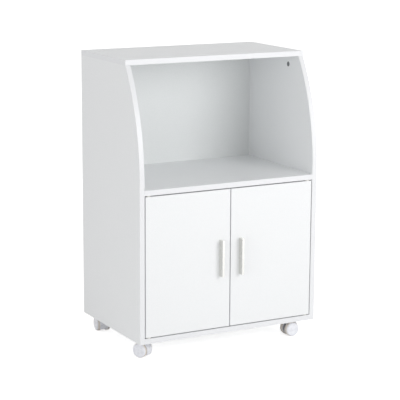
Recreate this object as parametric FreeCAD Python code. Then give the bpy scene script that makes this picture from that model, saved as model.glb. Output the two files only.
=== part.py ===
"""Microwave cart: an open microwave bay with swept-back sides over a two-door
cupboard, made of white laminated board, on four twin-wheel casters.

Frame, in millimetres: +X to the right of someone facing the doors, the doors
face -Y, +Z up. The origin is on the floor, under the middle of the whole box
that the cart and its door handles fill.
"""
import FreeCAD, Part
import math
import os

V = FreeCAD.Vector
X, Y, Z = V(1, 0, 0), V(0, 1, 0), V(0, 0, 1)

# ---------------------------------------------------------------- carcass
width = 600.0               # over the outer faces of the two side panels
depth = 400.0               # side panels, front edge to rear edge
carcass_height = 825.0      # underside of the sides to the top surface
board = 16.0                # thickness of every laminated board
top_depth = 309.0           # the top is this deep, the sides sweep back to it
shelf_height = 458.0        # microwave shelf surface above the carcass underside
curve_start = 20.0          # the sweep of the side starts this far above the shelf
edge_round = 0.8            # rounding of the banded edges that show
back_thickness = 3.0        # hardboard back
back_inset = 13.0           # rear edge of the sides to the back's rear face
groove_depth = 8.0          # groove for the back in the sides and the top
groove_play = 0.4           # groove wider than the back
back_end_play = 1.0         # back panel edge to the bottom of its groove

# ---------------------------------------------------------- knock-down fittings
cam_radius = 7.5
cam_length = 12.5
cam_setback = 30.0          # joint face to the middle of the cam
cam_sink = 0.2              # cam face below the board's face
cam_slot_length = 9.0       # cross recess for the screwdriver
cam_slot_width = 1.6
cam_slot_depth = 2.0
cam_play = 0.1              # radial play of the cam in its bore
bolt_thread_radius = 2.5
bolt_thread_length = 10.5
bolt_shank_radius = 3.0
bolt_neck_radius = 2.2
bolt_neck_length = 4.0
bolt_head_radius = 3.4
bolt_head_length = 3.0
bolt_bore_radius = 4.0      # bore in the board's end that the bolt passes along
bolt_head_play = 0.5        # radial room round the bolt head inside the cam
dowel_radius = 4.0
dowel_length = 30.0
dowel_in_face = 10.0        # how much of the dowel sits in the board's face
top_cam_rows = (150.0,)             # distances behind the front edge of the sides
top_dowel_rows = (118.0, 340.0)
shelf_cam_rows = (64.0, 320.0)
shelf_dowel_rows = (96.0, 288.0)
floor_cam_rows = (112.0, 272.0)     # clear of the caster screws
floor_dowel_rows = (144.0, 240.0)
drill_play = 0.05           # radial, every pin, dowel and screw in its hole
drill_end_play = 0.5        # hole deeper than what sits in it
nail_radius = 0.8
nail_length = 22.0
nail_head_radius = 1.8
nail_head_thickness = 0.7
nail_count = 5              # along each board that the back is nailed to

# ------------------------------------------------------------------- doors
door_gap = 3.0              # all round each door, and between the two
pivot_inset = 12.0          # door's hinge edge to the pivot axis
pivot_setback = 7.0         # door's front face to the pivot axis
pivot_pin_radius = 2.5
pivot_pin_in_board = 10.0
pivot_pin_in_door = 9.0
pivot_running_play = 0.05   # radial, pin in bushing
bushing_radius = 4.0
bushing_length = 11.0
bushing_flange_radius = 6.0
bushing_flange = 1.2
washer_radius = 6.0
washer_play = 0.3           # between the bushing's flange and the washer

handle_centres = 96.0       # between the two handle screws
handle_end = 8.0            # each screw to the near end of the handle
handle_width = 8.0          # at the door and at the front
handle_waist = 6.2          # halfway out, where fingers and thumb hold it
handle_projection = 20.0
handle_edge_round = 1.0
handle_from_edge = 32.0     # middle of the handle to the door's free edge
handle_height = 214.0       # middle of the handle above the door's lower edge
handle_screw_radius = 2.0
handle_screw_depth = 9.0    # thread in the handle
handle_screw_play = 0.3     # radial, in the door
pan_head_radius = 4.0
pan_head_height = 2.4

catch_spacing = 26.0        # middle of one magnet to the middle of the other
catch_body_length = 46.0
catch_body_depth = 15.0
catch_body_height = 13.0
catch_ear_length = 12.0
catch_ear_thickness = 3.0
catch_ear_corner = 4.0
catch_corner = 2.0
magnet_width = 4.0
magnet_length = 10.5        # back into the catch body
pole_thickness = 1.6
pole_height = 8.0
pole_proud = 1.0            # pole plates stand out of the catch body
pole_to_strike = 0.3        # air gap when the door is shut
strike_width = 15.0
strike_height = 34.0
strike_thickness = 1.2
strike_from_top = 1.5
small_screw_radius = 1.5
small_screw_length = 12.0
small_head_radius = 3.0
small_head_height = 1.5

# ----------------------------------------------------------------- casters
caster_height = 55.0        # floor to the carcass underside
caster_inset_x = 45.0       # swivel axis to the outer face of the side panel
caster_inset_y = 48.0       # swivel axis to the front or rear edge
caster_trail = 14.0         # swivel axis to the axle
wheel_radius = 22.5
wheel_width = 15.0
wheel_shoulder = 4.0        # rounding from the outer face back to the tread
wheel_shoulder_drop = 1.0   # the shoulder ends this far below the running surface
wheel_wall = 2.5
wheel_hub_radius = 6.0
wheel_play = 1.0            # wheel to the hood's web
tread_thickness = 3.0
tread_inset = 0.5           # tread's inner edge inside the wheel's
tread_round = 0.8
web_thickness = 14.0        # hood between the wheels
hood_clearance = 1.2        # wheel rim to the hood
hood_wall = 2.0
hood_width = 26.0           # it covers the inner half of each tread
hood_round = 1.0
hood_lead_angle = -35.0     # where the hood ends, degrees above the axle, leading side
hood_trail_angle = 130.0    # and past the top, trailing side
axle_boss_radius = 11.0
axle_radius = 3.0
axle_running_play = 0.05
axle_end_play = 0.5
kingpin_radius = 4.0
kingpin_running_play = 0.05
kingpin_depth = 25.0        # in the hood
kingpin_chamfer = 1.0
plate_rim = 5.0             # middle of a screw to the plate's edge
plate_thickness = 2.5
plate_corner = 5.0
plate_to_hood = 0.5
plate_hole_pitch = 28.0
plate_hole_play = 0.4
caster_screw_radius = 1.75
caster_screw_length = 13.0  # below its head
caster_head_radius = 3.5
caster_head_height = 2.0
# Which way each wheel pair trails from its swivel axis, in degrees from +X.
caster_trail_angle = {
    "front_left": 122.0, "front_right": 180.0, "rear_left": 82.0, "rear_right": 150.0}

# ------------------------------------------------------------- derived places
front = (handle_projection - depth) / 2     # front plane of sides, shelf and doors
rear = front + depth
left, right = -width / 2, width / 2
inner_left, inner_right = left + board, right - board
underside = caster_height
top = underside + carcass_height
side_top = top - board
floor_top = underside + board
shelf_top = underside + shelf_height
shelf_bottom = shelf_top - board
top_front = rear - top_depth
curve_base = shelf_top + curve_start
curve_rise = side_top - curve_base
curve_setback = depth - top_depth
# The sweep is one arc, tangent to the straight front edge, ending at the top.
curve_radius = (curve_setback ** 2 + curve_rise ** 2) / (2 * curve_setback)
back_front = rear - back_inset - back_thickness
door_bottom = floor_top + door_gap
door_top = shelf_bottom - door_gap
door_back = front + board
pivot_y = front + pivot_setback
axle_height = wheel_radius
hood_radius = wheel_radius + hood_clearance + hood_wall
plate_size = plate_hole_pitch + 2 * plate_rim

bores = {}      # holes to drill, listed under the board they go in


def drill(name, *cutters):
    bores.setdefault(name, []).extend(cutters)


def drilled(name, blank):
    return blank.cut(Part.makeCompound(bores[name])) if name in bores else blank


def box(x0, x1, y0, y1, z0, z1):
    return Part.makeBox(x1 - x0, y1 - y0, z1 - z0, V(x0, y0, z0))


def rod(radius, start, direction, length):
    return Part.makeCylinder(radius, length, start, direction)


def prism(points, along):
    """Solid between the closed outline through the points and its copy moved by along.
    A point given as a pair is the middle and the end of an arc."""
    edges, here = [], points[0]
    for step in points[1:] + points[:1]:
        if isinstance(step, tuple):
            edges.append(Part.Arc(here, *step).toShape())
            here = step[1]
        else:
            edges.append(Part.LineSegment(here, step).toShape())
            here = step
    return Part.Face(Part.Wire(edges)).extrude(along)


def spun(points, centre, axis):
    """Solid of revolution: points are (distance along axis, radius), arcs as in prism."""
    side = X if abs(axis.dot(X)) < 0.9 else Y
    out = axis.cross(side).normalize()

    def place(point):
        return centre + axis * point[0] + out * point[1]

    outline = [tuple(place(p) for p in s) if isinstance(s[0], tuple) else place(s)
               for s in points]
    edges, here = [], outline[0]
    for step in outline[1:] + outline[:1]:
        if isinstance(step, tuple):
            edges.append(Part.Arc(here, *step).toShape())
            here = step[1]
        else:
            edges.append(Part.LineSegment(here, step).toShape())
            here = step
    return Part.Face(Part.Wire(edges)).revolve(centre, axis, 360)


def rounded(shape, radius, keep):
    """The shape with each edge that keep() accepts rounded."""
    return shape.makeFillet(radius, [edge for edge in shape.Edges if keep(edge)])


def lies_at(edge, **planes):
    """True when the whole edge lies in each plane named, such as y=front."""
    bounds = edge.BoundBox
    return all(abs(getattr(bounds, axis.upper() + end) - value) < 1e-4
               for axis, value in planes.items() for end in ("Min", "Max"))


def save(name, *solids):
    shape = solids[0] if len(solids) == 1 else Part.makeCompound(list(solids))
    shape.exportStep(f"parts/{name}.step")


# ------------------------------------------------------- panel joints and fittings
def cam_lock(foot, inward, opening):
    """Die-cast cam in its bore: a drum, hollow where the bolt head enters, with a
    cross recess in the face that shows."""
    middle = foot + inward * cam_setback
    face = middle + opening * (board / 2 - cam_sink)
    drum = rod(cam_radius, face, -opening, cam_length)
    entry = foot + inward * (cam_setback - 2 * cam_radius)
    drum = drum.cut(rod(bolt_head_radius + bolt_head_play, entry, inward,
                        2 * cam_radius + bolt_head_length))
    across = inward.cross(opening)
    for one, other in ((inward, across), (across, inward)):
        corner = face - one * cam_slot_length / 2 - other * cam_slot_width / 2
        slot = prism([corner, corner + one * cam_slot_length,
                      corner + one * cam_slot_length + other * cam_slot_width,
                      corner + other * cam_slot_width], -opening * cam_slot_depth)
        drum = drum.cut(slot)
    return drum


def cam_bolt(foot, inward):
    """Turned steel bolt: thread in the face of one board, shank along the other, and
    a necked head that the cam draws in."""
    head_start = cam_setback - bolt_head_length / 2
    neck_start = head_start - bolt_neck_length
    return spun([(-bolt_thread_length, 0), (-bolt_thread_length, bolt_thread_radius),
                 (0, bolt_thread_radius), (0, bolt_shank_radius),
                 (neck_start, bolt_shank_radius), (neck_start, bolt_neck_radius),
                 (head_start, bolt_neck_radius), (head_start, bolt_head_radius),
                 (head_start + bolt_head_length, bolt_head_radius),
                 (head_start + bolt_head_length, 0)], foot, inward)


def panel_joint(receiving, carrying, corner, inward, opening, cam_rows, dowel_rows):
    """Cams, bolts and dowels of one joint, and the holes for them in both boards.
    corner is the joint at the front plane, inward points along the carrying board."""
    locks, bolts, dowels = [], [], []
    for row in cam_rows:
        foot = corner + Y * row
        locks.append(cam_lock(foot, inward, opening))
        bolts.append(cam_bolt(foot, inward))
        drill(receiving, rod(bolt_thread_radius + drill_play, foot, -inward,
                             bolt_thread_length + drill_end_play))
        mouth = foot + inward * cam_setback + opening * board / 2
        drill(carrying, rod(bolt_bore_radius, foot, inward, cam_setback),
              rod(cam_radius + cam_play, mouth, -opening, cam_sink + cam_length + drill_end_play))
    for row in dowel_rows:
        foot = corner + Y * row
        dowels.append(rod(dowel_radius, foot - inward * dowel_in_face, inward, dowel_length))
        drill(receiving, rod(dowel_radius + drill_play, foot, -inward,
                             dowel_in_face + drill_end_play))
        drill(carrying, rod(dowel_radius + drill_play, foot, inward,
                            dowel_length - dowel_in_face + drill_end_play))
    return locks, bolts, dowels


def fit_panels():
    """All knock-down fittings of the carcass."""
    locks, bolts, dowels = [], [], []
    for name, outer, inner, inward in (("left_side_panel", left, inner_left, X),
                                       ("right_side_panel", right, inner_right, -X)):
        joints = (
            ("top_panel", name, V((outer + inner) / 2, front, side_top), -Z, inward,
             top_cam_rows, top_dowel_rows),
            (name, "microwave_shelf", V(inner, front, shelf_top - board / 2), inward, -Z,
             shelf_cam_rows, shelf_dowel_rows),
            (name, "bottom_panel", V(inner, front, underside + board / 2), inward, -Z,
             floor_cam_rows, floor_dowel_rows))
        for joint in joints:
            for group, made in zip((locks, bolts, dowels), panel_joint(*joint)):
                group.extend(made)
    save("cam_locks", *locks)
    save("cam_bolts", *bolts)
    save("dowels", *dowels)


def screw(seat, direction, radius, length, head_radius, head_height):
    """Pan-head screw: seat is the middle of the face under its head."""
    rise = head_height / 2      # the upper half of the head is domed
    dome = (head_radius ** 2 + rise ** 2) / (2 * rise)
    lean = math.asin(head_radius / dome) / 2
    crown = (dome * (1 - math.cos(lean)) - head_height, dome * math.sin(lean))
    return spun([(length, 0), (length - radius, radius), (0, radius), (0, head_radius),
                 (-rise, head_radius), (crown, (-head_height, 0))], seat, direction)


# ------------------------------------------------------------------ carcass boards
def side_panel(name, x):
    """Board with its front edge swept back above the shelf, grooved for the back."""
    sweep = math.asin(curve_rise / curve_radius)

    def on_curve(angle):
        return V(x, front + curve_radius * (1 - math.cos(angle)),
                 curve_base + curve_radius * math.sin(angle))

    blank = prism([V(x, rear, underside), V(x, front, underside), V(x, front, curve_base),
                   (on_curve(sweep / 2), on_curve(sweep)), V(x, rear, side_top)], X * board)

    def front_edge(edge):
        bounds = edge.BoundBox
        upright = bounds.ZLength > board
        return upright and bounds.YMax < top_front + board and bounds.XLength < 1e-4

    blank = rounded(blank, edge_round, front_edge)
    inner = x + board if x < 0 else x
    groove = box(inner - groove_depth, inner + groove_depth, back_front,
                 back_front + back_thickness + groove_play, underside - 1, side_top + 1)
    save(name, drilled(name, blank.cut(groove)))


def top_panel():
    blank = box(left, right, top_front, rear, side_top, top)
    blank = rounded(blank, edge_round,
                    lambda edge: lies_at(edge, z=top) or lies_at(edge, y=top_front, z=side_top))
    groove = box(inner_left - groove_depth, inner_right + groove_depth, back_front,
                 back_front + back_thickness + groove_play, side_top - 1, side_top + groove_depth)
    save("top_panel", drilled("top_panel", blank.cut(groove)))


def inner_board(name, z):
    """Board between the sides: the microwave shelf or the cupboard floor."""
    blank = box(inner_left, inner_right, front, back_front, z, z + board)
    blank = rounded(blank, edge_round,
                    lambda edge: lies_at(edge, y=front, z=z) or lies_at(edge, y=front, z=z + board))
    save(name, drilled(name, blank))


def back_panel():
    """Hardboard sheet in the grooves, nailed to the rear edges of shelf and floor."""
    reach = groove_depth - back_end_play
    sheet = box(inner_left - reach, inner_right + reach, back_front, back_front + back_thickness,
                underside + back_end_play, side_top + reach)
    nails = []
    pitch = (inner_right - inner_left) / nail_count
    back_face = back_front + back_thickness
    for name, board_top in (("microwave_shelf", shelf_top), ("bottom_panel", floor_top)):
        for place in range(nail_count):
            start = V(inner_left + pitch * (place + 0.5), back_face, board_top - board / 2)
            nail = rod(nail_radius, start, -Y, nail_length)
            head = rod(nail_head_radius, start, Y, nail_head_thickness)
            nails.append(nail.fuse(head).removeSplitter())
            hole = rod(nail_radius + drill_play, start, -Y, nail_length + drill_end_play)
            drill(name, hole)
            drill("back_panel", hole)
    save("back_panel", drilled("back_panel", sheet))
    save("back_panel_nails", *nails)


# -------------------------------------------------------------------------- doors
def pivots(side, pivot_x):
    """Pins in the shelf and the floor, and the bushings that turn on them."""
    pins, washers, bushings = [], [], []
    washer = door_gap - bushing_flange - washer_play
    for name, face, edge, up in (("bottom_panel", floor_top, door_bottom, Z),
                                 ("microwave_shelf", shelf_bottom, door_top, -Z)):
        foot = V(pivot_x, pivot_y, face)
        pins.append(rod(pivot_pin_radius, foot - up * pivot_pin_in_board, up,
                        pivot_pin_in_board + door_gap + pivot_pin_in_door))
        drill(name, rod(pivot_pin_radius + drill_play, foot, -up, pivot_pin_in_board + drill_end_play))
        ring = rod(washer_radius, foot, up, washer)
        washers.append(ring.cut(rod(pivot_pin_radius + drill_play, foot, up, washer)))
        mouth = V(pivot_x, pivot_y, edge)
        sleeve = rod(bushing_radius, mouth, up, bushing_length)
        sleeve = sleeve.fuse(rod(bushing_flange_radius, mouth, -up, bushing_flange))
        sleeve = sleeve.cut(rod(pivot_pin_radius + pivot_running_play, mouth - up * bushing_flange, up,
                                bushing_flange + pivot_pin_in_door + drill_end_play))
        bushings.append(sleeve.removeSplitter())
        drill(side + "_door", rod(bushing_radius + drill_play, mouth, up,
                                  bushing_length + drill_end_play))
    save(side + "_pivot_bushings", *bushings)
    return pins, washers


def handle(side, handle_x):
    """Upright bar handle of drawn aluminium with waisted sides, and its two screws,
    which pass through the door from inside."""
    middle_z = door_bottom + handle_height
    nose = front - handle_projection
    half = handle_width / 2
    half_length = handle_centres / 2 + handle_end

    def at(x, y):
        return V(handle_x + x, y, middle_z - half_length)

    waist_y = (front + nose) / 2
    outline = [at(half, front), (at(handle_waist / 2, waist_y), at(half, nose)),
               at(-half, nose), (at(-handle_waist / 2, waist_y), at(-half, front))]
    grip = prism(outline, Z * 2 * half_length)
    grip = rounded(grip, handle_edge_round, lambda edge: not lies_at(edge, y=front))
    screws = []
    for z in (-handle_centres / 2, handle_centres / 2):
        seat = V(handle_x, door_back, middle_z + z)
        screws.append(screw(seat, -Y, handle_screw_radius, board + handle_screw_depth,
                            pan_head_radius, pan_head_height))
        drill(side + "_door", rod(handle_screw_radius + handle_screw_play, seat, -Y, board))
        grip = grip.cut(rod(handle_screw_radius + drill_play, V(handle_x, front, middle_z + z),
                            -Y, handle_screw_depth + drill_end_play))
    save(side + "_handle", grip)
    save(side + "_handle_screws", *screws)


def strike_plate(side, strike_x):
    """Steel plate on the back of the door that the magnet holds, with its screw."""
    z1 = door_top - strike_from_top
    z0 = z1 - strike_height
    seat_y = door_back + strike_thickness
    plate = box(strike_x - strike_width / 2, strike_x + strike_width / 2, door_back, seat_y, z0, z1)
    plate = rounded(plate, catch_corner,
                    lambda edge: edge.BoundBox.YLength > strike_thickness / 2)
    seat = V(strike_x, seat_y, z0 + strike_width / 2)
    hole = rod(small_screw_radius + drill_play, seat, -Y, small_screw_length + drill_end_play)
    drill(side + "_door", hole)
    save(side + "_strike_plate", plate.cut(hole))
    save(side + "_strike_screw", screw(seat, -Y, small_screw_radius, small_screw_length,
                                       small_head_radius, small_head_height))


def door(side, x0, x1):
    name = side + "_door"
    blank = box(x0, x1, front, door_back, door_bottom, door_top)
    blank = rounded(blank, edge_round, lambda edge: lies_at(edge, y=front))
    save(name, drilled(name, blank))


def doors():
    """Both doors with all that is fixed to them, and the pins they turn on."""
    pins, washers = [], []
    meeting = door_gap / 2
    for side, hand, x0, x1 in (("left", -1, inner_left + door_gap, -meeting),
                               ("right", 1, meeting, inner_right - door_gap)):
        hinge_edge, free_edge = (x0, x1) if hand < 0 else (x1, x0)
        made = pivots(side, hinge_edge - hand * pivot_inset)
        pins.extend(made[0])
        washers.extend(made[1])
        handle(side, free_edge + hand * handle_from_edge)
        strike_plate(side, hand * catch_spacing / 2)
        door(side, x0, x1)
    save("pivot_pins", *pins)
    save("pivot_washers", *washers)


def magnetic_catch():
    """Double magnetic catch under the shelf: a moulded body with two ears, and for
    each door a magnet between two steel pole plates."""
    face = door_back + strike_thickness + pole_to_strike    # front of the pole plates
    y0 = face + pole_proud
    z0 = shelf_bottom - catch_body_height
    half = catch_body_length / 2
    body = box(-half, half, y0, y0 + catch_body_depth, z0, shelf_bottom)
    ear_y0 = y0 + (catch_body_depth - catch_ear_length) / 2
    ears = box(-half - catch_ear_length, half + catch_ear_length, ear_y0, ear_y0 + catch_ear_length,
               shelf_bottom - catch_ear_thickness, shelf_bottom)
    body = rounded(body, catch_corner,
                   lambda edge: edge.BoundBox.ZLength > board / 2 or lies_at(edge, z=z0))
    ears = rounded(ears, catch_ear_corner,
                   lambda edge: edge.BoundBox.ZLength > catch_ear_thickness / 2)
    body = body.fuse(ears).removeSplitter()
    pole_z = z0 + (catch_body_height - pole_height) / 2
    pole_y1 = y0 + magnet_length
    magnets, poles = [], []
    for x in (-catch_spacing / 2, catch_spacing / 2):
        x0 = x - magnet_width / 2
        x1 = x + magnet_width / 2
        body = body.cut(box(x0 - pole_thickness, x1 + pole_thickness, y0 - 1, pole_y1,
                            pole_z, pole_z + pole_height))
        magnets.append(box(x0, x1, y0, pole_y1, pole_z, pole_z + pole_height))
        poles.append(box(x0 - pole_thickness, x0, face, pole_y1, pole_z, pole_z + pole_height))
        poles.append(box(x1, x1 + pole_thickness, face, pole_y1, pole_z, pole_z + pole_height))
    screws = []
    for x in (-half - catch_ear_length / 2, half + catch_ear_length / 2):
        seat = V(x, ear_y0 + catch_ear_length / 2, shelf_bottom - catch_ear_thickness)
        hole = rod(small_screw_radius + drill_play, seat, Z, small_screw_length + drill_end_play)
        body = body.cut(hole)
        drill("microwave_shelf", hole)
        screws.append(screw(seat, Z, small_screw_radius, small_screw_length,
                            small_head_radius, small_head_height))
    save("catch_housing", body)
    save("catch_magnets", *magnets)
    save("catch_pole_plates", *poles)
    save("catch_screws", *screws)


# ------------------------------------------------------------------------ casters
def caster_mount(x, y):
    """Steel plate screwed under the cupboard floor, with the kingpin riveted in it."""
    seat = V(x, y, underside)
    half = plate_size / 2
    plate = box(x - half, x + half, y - half, y + half, underside - plate_thickness, underside)
    plate = rounded(plate, plate_corner, lambda edge: edge.BoundBox.ZLength > plate_thickness / 2)
    plate = plate.cut(rod(kingpin_radius + drill_play, seat, -Z, plate_thickness))
    # The pin stops short of the cupboard floor above and of its bore's end below.
    pin_top = underside - drill_play
    pin_end = underside - plate_thickness - plate_to_hood - kingpin_depth + drill_end_play
    kingpin = rod(kingpin_radius, V(x, y, pin_top), -Z, pin_top - pin_end)
    kingpin = kingpin.makeChamfer(kingpin_chamfer,
                                  [edge for edge in kingpin.Edges if lies_at(edge, z=pin_end)])
    screws = []
    for dx in (-plate_hole_pitch / 2, plate_hole_pitch / 2):
        for dy in (-plate_hole_pitch / 2, plate_hole_pitch / 2):
            under_head = V(x + dx, y + dy, underside - plate_thickness)
            plate = plate.cut(rod(caster_screw_radius + plate_hole_play, under_head, Z,
                                  plate_thickness))
            drill("bottom_panel", rod(caster_screw_radius + drill_play, under_head, Z,
                                      caster_screw_length + drill_end_play))
            screws.append(screw(under_head, Z, caster_screw_radius, caster_screw_length,
                                caster_head_radius, caster_head_height))
    return plate, kingpin, screws


def caster_hood(x, y, trail, across):
    """Moulded hood: a web between the wheels that holds axle and kingpin, and a
    curved cover, nearly down to the floor on the leading side."""
    axle = V(x, y, axle_height) + trail * caster_trail
    corner = axle - across * hood_width / 2

    def on_rim(degrees):
        angle = math.radians(degrees)
        return corner + (Z * math.sin(angle) - trail * math.cos(angle)) * hood_radius

    middle = (hood_lead_angle + hood_trail_angle) / 2
    hood = prism([corner, on_rim(hood_lead_angle), (on_rim(middle), on_rim(hood_trail_angle))],
                 across * hood_width)
    hood = rounded(hood, hood_round, lambda edge: isinstance(edge.Curve, Part.Circle))
    for hand in (-1, 1):
        well = axle + across * (hand * web_thickness / 2)
        hood = hood.cut(rod(hood_radius - hood_wall, well, across * hand, hood_width))
    boss_top = underside - plate_thickness - plate_to_hood
    boss = rod(web_thickness / 2, V(x, y, boss_top), -Z, kingpin_depth + hood_wall)
    bearing = rod(axle_boss_radius, axle - across * web_thickness / 2, across, web_thickness)
    hood = hood.fuse([boss, bearing]).removeSplitter()
    hood = hood.cut(rod(kingpin_radius + kingpin_running_play, V(x, y, boss_top), -Z,
                        kingpin_depth))
    return hood.cut(rod(axle_radius + drill_play, axle - across * web_thickness, across,
                        2 * web_thickness))


def caster_wheel(axle, out):
    """One wheel and its tread: hollow on the hub side, closed outside, where a round
    shoulder holds the tread."""
    inside = web_thickness / 2 + wheel_play
    outside = inside + wheel_width
    rim = wheel_radius - tread_thickness
    shoulder = wheel_radius - wheel_shoulder_drop
    lean = wheel_shoulder * (1 - math.sqrt(0.5))
    tread_start = inside + tread_inset
    tread_end = outside - wheel_shoulder
    bore = axle_radius + axle_running_play
    pocket = outside - 2 * wheel_wall       # depth of the hollow behind the face
    core = spun([(inside, bore), (inside, wheel_hub_radius), (pocket, wheel_hub_radius),
                 (pocket, rim - wheel_wall), (tread_start, rim - wheel_wall), (tread_start, rim),
                 (tread_end, rim), (tread_end, shoulder),
                 ((outside - lean, shoulder - lean), (outside, shoulder - wheel_shoulder)),
                 (outside, 0), (outside - wheel_wall, 0), (outside - wheel_wall, bore)], axle, out)
    lean = tread_round * (1 - math.sqrt(0.5))
    tread = spun([(tread_start, rim), (tread_start, wheel_radius),
                  (tread_end - tread_round, wheel_radius),
                  ((tread_end - lean, wheel_radius - lean), (tread_end, wheel_radius - tread_round)),
                  (tread_end, rim)], axle, out)
    return core, tread


def casters():
    """Four twin-wheel casters, each turned to where it trails in use."""
    plates, kingpins, screws = [], [], []
    axle_reach = web_thickness / 2 + wheel_play + wheel_width - wheel_wall - axle_end_play
    for corner, angle in caster_trail_angle.items():
        x = left + caster_inset_x if "left" in corner else right - caster_inset_x
        y = front + caster_inset_y if "front" in corner else rear - caster_inset_y
        plate, kingpin, four = caster_mount(x, y)
        plates.append(plate)
        kingpins.append(kingpin)
        screws.extend(four)
        turn = math.radians(angle)
        trail = V(math.cos(turn), math.sin(turn), 0)
        across = V(-math.sin(turn), math.cos(turn), 0)
        axle = V(x, y, axle_height) + trail * caster_trail
        save(corner + "_caster_hood", caster_hood(x, y, trail, across))
        save(corner + "_caster_axle", rod(axle_radius, axle - across * axle_reach, across,
                                          2 * axle_reach))
        for letter, out in (("a", across), ("b", -across)):
            core, tread = caster_wheel(axle, out)
            save(f"{corner}_caster_wheel_{letter}", core)
            save(f"{corner}_caster_tread_{letter}", tread)
    save("caster_plates", *plates)
    save("caster_kingpins", *kingpins)
    save("caster_screws", *screws)


os.makedirs("parts", exist_ok=True)
fit_panels()
back_panel()
doors()
magnetic_catch()
casters()
# The boards come last, when every hole in them is known.
side_panel("left_side_panel", left)
side_panel("right_side_panel", inner_right)
top_panel()
inner_board("microwave_shelf", shelf_bottom)
inner_board("bottom_panel", underside)
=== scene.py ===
import math

import bpy
from mathutils import Matrix, Vector

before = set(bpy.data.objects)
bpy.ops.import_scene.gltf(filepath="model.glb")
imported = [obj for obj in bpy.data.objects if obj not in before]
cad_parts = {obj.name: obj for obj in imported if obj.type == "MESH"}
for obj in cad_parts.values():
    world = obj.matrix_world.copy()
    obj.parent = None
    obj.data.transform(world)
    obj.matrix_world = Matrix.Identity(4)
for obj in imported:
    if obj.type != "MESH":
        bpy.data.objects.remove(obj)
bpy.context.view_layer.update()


# --- Side panels, top, shelf and cupboard floor ---------------------------------------------
# 16 mm particle board pressed with white melamine paper. The press plate leaves a fine
# pearl texture on the faces. The sawn edges carry a smooth ironed-on band, a shade less
# white and a little glossier.
MELAMINE_PAPER = "F3F4F5"
MELAMINE_SHADE = "EEF0F1"
EDGE_BAND = "ECEDEF"
PEARL_MM = 1.4              # real pearl is 0.4 mm, drawn coarser so that it shows
PEARL_DEPTH_MM = 0.02
PEARL_LOW, PEARL_HIGH = 0.35, 0.6   # noise values where the shade ends and full paper starts
PRESS_CLOUD_MM = 70.0       # slow drift of gloss left by the press
PAPER_ROUGHNESS = (0.4, 0.48)
BAND_ROUGHNESS = 0.35
RESIN_IOR = 1.5             # melamine, lacquer and wood alike
FLAT_TO_AXIS = 0.9          # a face is square to an axis if its normal has more of it than this
NOISE_LOW, NOISE_HIGH = 0.3, 0.7    # nearly all of a noise texture's values lie between


def linear(hex_colour):
    """sRGB hex to linear RGBA."""
    channels = [int(hex_colour[place:place + 2], 16) / 255 for place in (0, 2, 4)]
    return [c / 12.92 if c <= 0.04045 else ((c + 0.055) / 1.055) ** 2.4
            for c in channels] + [1.0]


def add_node(tree, kind, inputs, stops=(), **settings):
    """Adds a node. An input given as another node's output is linked to it. The stops of a
    colour ramp are pairs of a place and a hex colour.
    """
    made = tree.nodes.new(kind)
    for name, value in settings.items():
        setattr(made, name, value)
    for socket, value in inputs.items():
        if isinstance(value, bpy.types.NodeSocket):
            tree.links.new(value, made.inputs[socket])
        else:
            made.inputs[socket].default_value = value
    for number, (place, hex_colour) in enumerate(stops):
        made.color_ramp.elements[number].position = place
        made.color_ramp.elements[number].color = linear(hex_colour)
    return made


def blank_finish(name):
    """A material with no nodes yet, and its node tree."""
    material = bpy.data.materials.new(name)
    material.use_nodes = True
    material.node_tree.nodes.clear()
    return material, material.node_tree


def finished(material, inputs):
    """Gives the material one Principled surface with these inputs. Returns the material."""
    tree = material.node_tree
    surface = add_node(tree, "ShaderNodeBsdfPrincipled", inputs)
    add_node(tree, "ShaderNodeOutputMaterial", {"Surface": surface.outputs["BSDF"]})
    return material


def grain(tree, feature_mm, detail=2.0, stretch=(1, 1, 1)):
    """Noise whose blotches are about feature_mm across, in the object's own frame."""
    place = add_node(tree, "ShaderNodeTexCoord", {}).outputs["Object"]
    if stretch != (1, 1, 1):
        place = add_node(tree, "ShaderNodeMapping",
                         {"Vector": place, "Scale": stretch}).outputs["Vector"]
    return add_node(tree, "ShaderNodeTexNoise",
                    {"Vector": place, "Scale": 1000 / feature_mm, "Detail": detail}
                    ).outputs["Fac"]


def broad_face(tree, axis):
    """1 on the board's two broad faces, 0 on its edges. The axis is across its thickness."""
    normal = add_node(tree, "ShaderNodeTexCoord", {}).outputs["Normal"]
    parts = add_node(tree, "ShaderNodeSeparateXYZ", {"Vector": normal})
    size = add_node(tree, "ShaderNodeMath", {0: parts.outputs[axis]}, operation="ABSOLUTE")
    return add_node(tree, "ShaderNodeMath", {0: size.outputs[0], 1: FLAT_TO_AXIS},
                    operation="GREATER_THAN").outputs[0]


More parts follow.
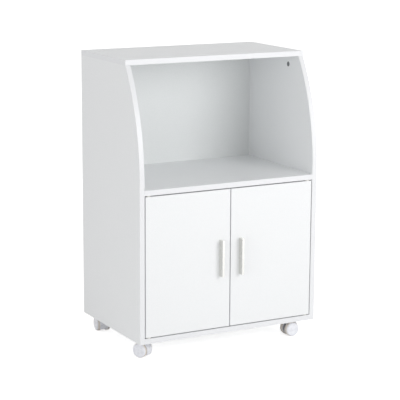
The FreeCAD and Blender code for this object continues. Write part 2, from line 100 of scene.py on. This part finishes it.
def laminated_board(name, axis):
    """Melamine board: pearled paper on its broad faces, plain band on its edges."""
    material, tree = blank_finish(name)
    face = broad_face(tree, axis)
    pearl = grain(tree, PEARL_MM)
    paper = add_node(tree, "ShaderNodeValToRGB", {"Fac": pearl},
                     stops=[(PEARL_LOW, MELAMINE_SHADE), (PEARL_HIGH, MELAMINE_PAPER)])
    colour = add_node(tree, "ShaderNodeMix",
                      {0: face, 6: linear(EDGE_BAND), 7: paper.outputs["Color"]},
                      data_type="RGBA")
    pressed = add_node(tree, "ShaderNodeMapRange",
                       {"Value": grain(tree, PRESS_CLOUD_MM),
                        "From Min": NOISE_LOW, "From Max": NOISE_HIGH,
                        "To Min": PAPER_ROUGHNESS[0], "To Max": PAPER_ROUGHNESS[1]})
    gloss = add_node(tree, "ShaderNodeMix",
                     {0: face, 2: BAND_ROUGHNESS, 3: pressed.outputs["Result"]})
    height = add_node(tree, "ShaderNodeMath", {0: pearl, 1: face}, operation="MULTIPLY")
    bump = add_node(tree, "ShaderNodeBump",
                    {"Height": height.outputs[0], "Distance": PEARL_DEPTH_MM / 1000})
    return finished(material, {"Base Color": colour.outputs[2], "Roughness": gloss.outputs[0],
                               "IOR": RESIN_IOR, "Normal": bump.outputs["Normal"]})


def dress(material, *nodes):
    """Gives the material to every slot of the named CAD nodes."""
    for name in nodes:
        for material_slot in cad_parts[name].material_slots:
            material_slot.material = material


dress(laminated_board("melamine_board_upright", "X"), "left_side_panel", "right_side_panel")
dress(laminated_board("melamine_board_level", "Z"),
      "top_panel", "microwave_shelf", "bottom_panel")


# --- Back panel and its nails ---------------------------------------------------------------
# 3 mm hardboard. The front is lacquered white; the rear is left raw, brown wood fibre
# with the imprint of the wire screen that the wet sheet was pressed on. Slid into the
# grooves and held with blued wire nails.
LACQUER_WHITE = "ECEEEE"
LACQUER_THIN = "E6E9E9"
RAW_FIBRE = "A58562"
RAW_FIBRE_DARK = "8F7050"
LACQUER_ROUGHNESS = 0.45
RAW_ROUGHNESS = 0.85
FACES_REAR = 0.5            # the raw side is where the normal has more of +Y than this
FIBRE_MM = 3.0
ALONG_SHEET = (1, 1, 2.5)   # fibres lie more across the cart than upright
SCREEN_PITCH_MM = 7.854     # real screen is 1.5 mm, drawn coarser so that it shows
SCREEN_DEPTH_MM = 0.15

hardboard, tree = blank_finish("lacquered_hardboard")
normal = add_node(tree, "ShaderNodeTexCoord", {}).outputs["Normal"]
facing = add_node(tree, "ShaderNodeSeparateXYZ", {"Vector": normal}).outputs["Y"]
raw_side = add_node(tree, "ShaderNodeMath", {0: facing, 1: FACES_REAR},
                    operation="GREATER_THAN").outputs[0]
fibre = grain(tree, FIBRE_MM, detail=6.0, stretch=ALONG_SHEET)
lacquer = add_node(tree, "ShaderNodeValToRGB", {"Fac": fibre},
                   stops=[(NOISE_LOW, LACQUER_THIN), (NOISE_HIGH, LACQUER_WHITE)])
raw = add_node(tree, "ShaderNodeValToRGB", {"Fac": fibre},
               stops=[(NOISE_LOW, RAW_FIBRE_DARK), (NOISE_HIGH, RAW_FIBRE)])
colour = add_node(tree, "ShaderNodeMix",
                  {0: raw_side, 6: lacquer.outputs["Color"], 7: raw.outputs["Color"]},
                  data_type="RGBA")
gloss = add_node(tree, "ShaderNodeMix",
                 {0: raw_side, 2: LACQUER_ROUGHNESS, 3: RAW_ROUGHNESS})
place = add_node(tree, "ShaderNodeTexCoord", {}).outputs["Object"]
# A wave texture repeats every pi / 10 of its units, here 1000 mm divided by its scale.
wires = [add_node(tree, "ShaderNodeTexWave",
                  {"Vector": place, "Scale": math.pi / 10 * 1000 / SCREEN_PITCH_MM},
                  bands_direction=direction).outputs["Fac"] for direction in ("X", "Z")]
screen = add_node(tree, "ShaderNodeMath", {0: wires[0], 1: wires[1]}, operation="MULTIPLY")
imprint = add_node(tree, "ShaderNodeMath", {0: screen.outputs[0], 1: raw_side},
                   operation="MULTIPLY")
bump = add_node(tree, "ShaderNodeBump",
                {"Height": imprint.outputs[0], "Distance": SCREEN_DEPTH_MM / 1000,
                 "Strength": 0.6})
dress(finished(hardboard, {"Base Color": colour.outputs[2], "Roughness": gloss.outputs[0],
                           "IOR": RESIN_IOR, "Normal": bump.outputs["Normal"]}),
      "back_panel")


def two_tone(material, drift, dark, light, skin, depth_mm, inputs):
    """Finishes the material: its colour drifts from dark to light with one pattern, and
    another raises its skin, depth_mm high. The inputs are the surface's other sockets.
    """
    tree = material.node_tree
    tone = add_node(tree, "ShaderNodeValToRGB", {"Fac": drift},
                    stops=[(NOISE_LOW, dark), (NOISE_HIGH, light)])
    bump = add_node(tree, "ShaderNodeBump", {"Height": skin, "Distance": depth_mm / 1000})
    return finished(material, {"Base Color": tone.outputs["Color"],
                               "Normal": bump.outputs["Normal"], **inputs})


def metal(name, dark, light, blotch_mm, roughness, depth_mm=0.01, stretch=(1, 1, 1)):
    """Metal whose tone and gloss drift between two values over blotches or brush lines."""
    material, tree = blank_finish(name)
    drift = grain(tree, blotch_mm, detail=3.0, stretch=stretch)
    gloss = add_node(tree, "ShaderNodeMapRange",
                     {"Value": drift, "From Min": NOISE_LOW, "From Max": NOISE_HIGH,
                      "To Min": roughness[0], "To Max": roughness[1]})
    return two_tone(material, drift, dark, light, drift, depth_mm,
                    {"Metallic": 1.0, "Roughness": gloss.outputs["Result"]})


dress(metal("blued_wire", dark="555962", light="6B6F78", blotch_mm=1.0,
            roughness=(0.4, 0.5)), "back_panel_nails")


# --- Cams, cam bolts and dowels -------------------------------------------------------------
# The knock-down fittings that join the boards. The cams are die-cast zinc, a dull mid
# grey as cast; the bolts are turned steel with bright zinc plating; the dowels are beech.
CAST_SKIN_MM = 0.8
PLATING_CLOUD_MM = 4.0
BEECH = "C79D6E"
BEECH_RAY = "A97C4F"
BEECH_GRAIN_MM = 0.7
BEECH_GRAIN_DEPTH_MM = 0.05
ALONG_DOWEL = (0.12, 1, 0.12)   # the dowels stand upright or lie across, never front to back

dress(metal("die_cast_zinc", dark="86888A", light="A0A2A4", blotch_mm=CAST_SKIN_MM,
            roughness=(0.45, 0.6), depth_mm=0.03), "cam_locks")
zinc_plated_steel = metal("zinc_plated_steel", dark="A9ACAE", light="C3C5C6",
                          blotch_mm=PLATING_CLOUD_MM, roughness=(0.26, 0.38))
dress(zinc_plated_steel, "cam_bolts")

beech, tree = blank_finish("turned_beech")
lines = grain(tree, BEECH_GRAIN_MM, detail=4.0, stretch=ALONG_DOWEL)
dress(two_tone(beech, lines, BEECH_RAY, BEECH, lines, BEECH_GRAIN_DEPTH_MM,
               {"IOR": RESIN_IOR, "Roughness": 0.6}), "dowels")


# --- Doors ----------------------------------------------------------------------------------
# The same laminated board as the carcass, banded on all four edges. Each turns on two
# plated steel pins in nylon bushings, with a nylon washer at each end.
FLOW_MARK_MM = 12.0
NYLON_IOR = 1.53

dress(laminated_board("melamine_board_door", "Y"), "left_door", "right_door")
dress(zinc_plated_steel, "pivot_pins")


def moulded(name, dark, light, roughness, skin_mm, depth_mm, ior):
    """Moulded plastic: faint flow marks in its tone, and the fine skin of the mould."""
    material, tree = blank_finish(name)
    flow = grain(tree, FLOW_MARK_MM, detail=3.0)
    gloss = add_node(tree, "ShaderNodeMapRange",
                     {"Value": flow, "From Min": NOISE_LOW, "From Max": NOISE_HIGH,
                      "To Min": roughness[0], "To Max": roughness[1]})
    return two_tone(material, flow, dark, light, grain(tree, skin_mm), depth_mm,
                    {"IOR": ior, "Roughness": gloss.outputs["Result"]})


nylon = moulded("natural_nylon", dark="E2E0D8", light="EDECE6", roughness=(0.4, 0.5),
                skin_mm=0.8, depth_mm=0.02, ior=NYLON_IOR)
dress(nylon, "left_pivot_bushings", "right_pivot_bushings", "pivot_washers")


# --- Handles --------------------------------------------------------------------------------
# Drawn aluminium bars with waisted sides, brushed along their length and anodised. Two
# plated screws come through the door from inside.
BRUSH_LINE_MM = 0.5         # real brush lines are 0.1 mm, drawn coarser so that they show
ALONG_BAR = (1, 1, 0.04)    # brush lines are 25 times as long as wide

dress(metal("anodised_aluminium", dark="DEDEDA", light="EBEBE8", blotch_mm=BRUSH_LINE_MM,
            roughness=(0.22, 0.3), depth_mm=0.005, stretch=ALONG_BAR),
      "left_handle", "right_handle")
dress(zinc_plated_steel, "left_handle_screws", "right_handle_screws")


# --- Magnetic catch -------------------------------------------------------------------------
# A white nylon body under the shelf holds two sintered ferrite magnets between plated
# steel pole plates. Each door carries a plated steel strike plate.
FERRITE_DARK = "262628"
FERRITE_LIGHT = "3A3A3D"
FERRITE_GRAIN_MM = 0.6
FERRITE_GRAIN_DEPTH_MM = 0.05

dress(nylon, "catch_housing")
dress(zinc_plated_steel, "catch_pole_plates", "catch_screws", "left_strike_plate",
      "right_strike_plate", "left_strike_screw", "right_strike_screw")

ferrite, tree = blank_finish("sintered_ferrite")
specks = grain(tree, FERRITE_GRAIN_MM)
dress(two_tone(ferrite, specks, FERRITE_DARK, FERRITE_LIGHT, specks, FERRITE_GRAIN_DEPTH_MM,
               {"IOR": 1.8, "Roughness": 0.75}), "catch_magnets")


# --- Casters --------------------------------------------------------------------------------
# Twin-wheel casters. Hood and wheels are moulded in glossy white nylon, the wheels with a
# tread of soft beige-grey rubber moulded on. Plate, kingpin, axle and screws are plated steel.
CORNERS = [f"{end}_{side}" for end in ("front", "rear") for side in ("left", "right")]
RUBBER_IOR = 1.52

dress(zinc_plated_steel, "caster_plates", "caster_kingpins", "caster_screws",
      *[f"{corner}_caster_axle" for corner in CORNERS])
dress(moulded("glossy_nylon", dark="EDEEF4", light="F3F4F9", roughness=(0.22, 0.32),
              skin_mm=1.0, depth_mm=0.01, ior=NYLON_IOR),
      *[f"{corner}_caster_{part}" for corner in CORNERS
        for part in ("hood", "wheel_a", "wheel_b")])
dress(moulded("soft_tread", dark="E1D9CF", light="ECE5DD", roughness=(0.6, 0.75),
              skin_mm=0.6, depth_mm=0.05, ior=RUBBER_IOR),
      *[f"{corner}_caster_tread_{part}" for corner in CORNERS for part in "ab"])


# --- Studio ---------------------------------------------------------------------------------
# A pale floor that runs into a white background, a large soft key lamp from the front
# right, a larger fill from the front left and even light from all round. The floor shows
# white to the camera but keeps the shadow.
FLOOR_REACH_M = 40.0
FLOOR_WHITE = 0.95
ROOM_LIGHT = 0.61           # even light on the cart from all round
WHITE_IN_MIRROR = 0.33      # brings the lit floor to just white where metal mirrors it
WHITE_IN_VIEW = 0.66        # and past it for the camera, which leaves a faint shadow
MIDDLE_OF_CART = Vector((0, 0, 0.45))

bpy.ops.mesh.primitive_plane_add(size=FLOOR_REACH_M)
floor = bpy.context.object
floor.name = "studio_floor"


def seen(tree, rays):
    """1 for rays that show the background: straight, mirrored or through glass."""
    total = add_node(tree, "ShaderNodeMath", {0: rays.outputs["Is Camera Ray"],
                                              1: rays.outputs["Is Glossy Ray"]})
    return add_node(tree, "ShaderNodeMath",
                    {0: total.outputs[0], 1: rays.outputs["Is Transmission Ray"]},
                    use_clamp=True).outputs[0]


floor_paint, tree = blank_finish("studio_floor_paint")
paint = add_node(tree, "ShaderNodeBsdfDiffuse", {"Color": [FLOOR_WHITE] * 3 + [1]})
rays = add_node(tree, "ShaderNodeLightPath", {})
mirrored = add_node(tree, "ShaderNodeMath", {0: seen(tree, rays), 1: WHITE_IN_MIRROR},
                    operation="MULTIPLY")
lift = add_node(tree, "ShaderNodeMath",
                {0: rays.outputs["Is Camera Ray"], 1: WHITE_IN_VIEW - WHITE_IN_MIRROR,
                 2: mirrored.outputs[0]}, operation="MULTIPLY_ADD")
glow = add_node(tree, "ShaderNodeEmission", {"Color": (1, 1, 1, 1), "Strength": lift.outputs[0]})
both = add_node(tree, "ShaderNodeAddShader", {0: paint.outputs[0], 1: glow.outputs[0]})
add_node(tree, "ShaderNodeOutputMaterial", {"Surface": both.outputs[0]})
floor.data.materials.append(floor_paint)

world = bpy.data.worlds.new("studio_room")
bpy.context.scene.world = world
world.use_nodes = True
tree = world.node_tree
tree.nodes.clear()
rays = add_node(tree, "ShaderNodeLightPath", {})
room = add_node(tree, "ShaderNodeMapRange",
                {"Value": seen(tree, rays), "To Min": ROOM_LIGHT, "To Max": 1.0})
backdrop = add_node(tree, "ShaderNodeBackground",
                    {"Color": (1, 1, 1, 1), "Strength": room.outputs["Result"]})
add_node(tree, "ShaderNodeOutputWorld", {"Surface": backdrop.outputs[0]})


def softbox(name, azimuth, elevation, distance, size, watts):
    """Round lamp aimed at the cart, its azimuth counted to the right of the cart's front.
    Azimuth and elevation are in degrees, distance and size in metres.
    """
    lamp = bpy.data.lights.new(name, "AREA")
    lamp.shape = "DISK"
    lamp.size = size
    lamp.energy = watts
    stand = bpy.data.objects.new(name, lamp)
    bpy.context.collection.objects.link(stand)
    turn, rise = math.radians(azimuth), math.radians(elevation)
    out = Vector((math.sin(turn) * math.cos(rise), -math.cos(turn) * math.cos(rise),
                  math.sin(rise)))
    stand.location = MIDDLE_OF_CART + out * distance
    stand.rotation_euler = out.to_track_quat("Z", "Y").to_euler()


softbox("key_softbox", azimuth=22, elevation=16, distance=3.1, size=1.7, watts=31.5)
softbox("fill_softbox", azimuth=-64, elevation=4, distance=3.5, size=1.8, watts=15.0)


# --- Camera ---------------------------------------------------------------------------------
# At the photograph's own viewpoint: about 4.6 m away, to the left of the doors and above.
# Place, lens and turns come from fitting the cart's corners.
SENSOR_MM = 36.0
LENS_MM = 136.006
VIEWPOINT = (-2.16729, -3.99233, 1.36129)
YAW, PITCH, ROLL = (math.radians(angle) for angle in (28.488, 11.642, -0.311))
FARTHEST_SEEN_M = 100.0

camera = bpy.data.objects.new("camera", bpy.data.cameras.new("camera"))
bpy.context.collection.objects.link(camera)
camera.data.sensor_width = SENSOR_MM
camera.data.lens = LENS_MM
camera.location = VIEWPOINT
camera.rotation_euler = (Matrix.Rotation(-YAW, 3, "Z")
                         @ Matrix.Rotation(math.pi / 2 - PITCH, 3, "X")
                         @ Matrix.Rotation(-ROLL, 3, "Z")).to_euler()
camera.data.clip_end = FARTHEST_SEEN_M
bpy.context.scene.camera = camera

bpy.context.scene.view_settings.view_transform = "Standard"
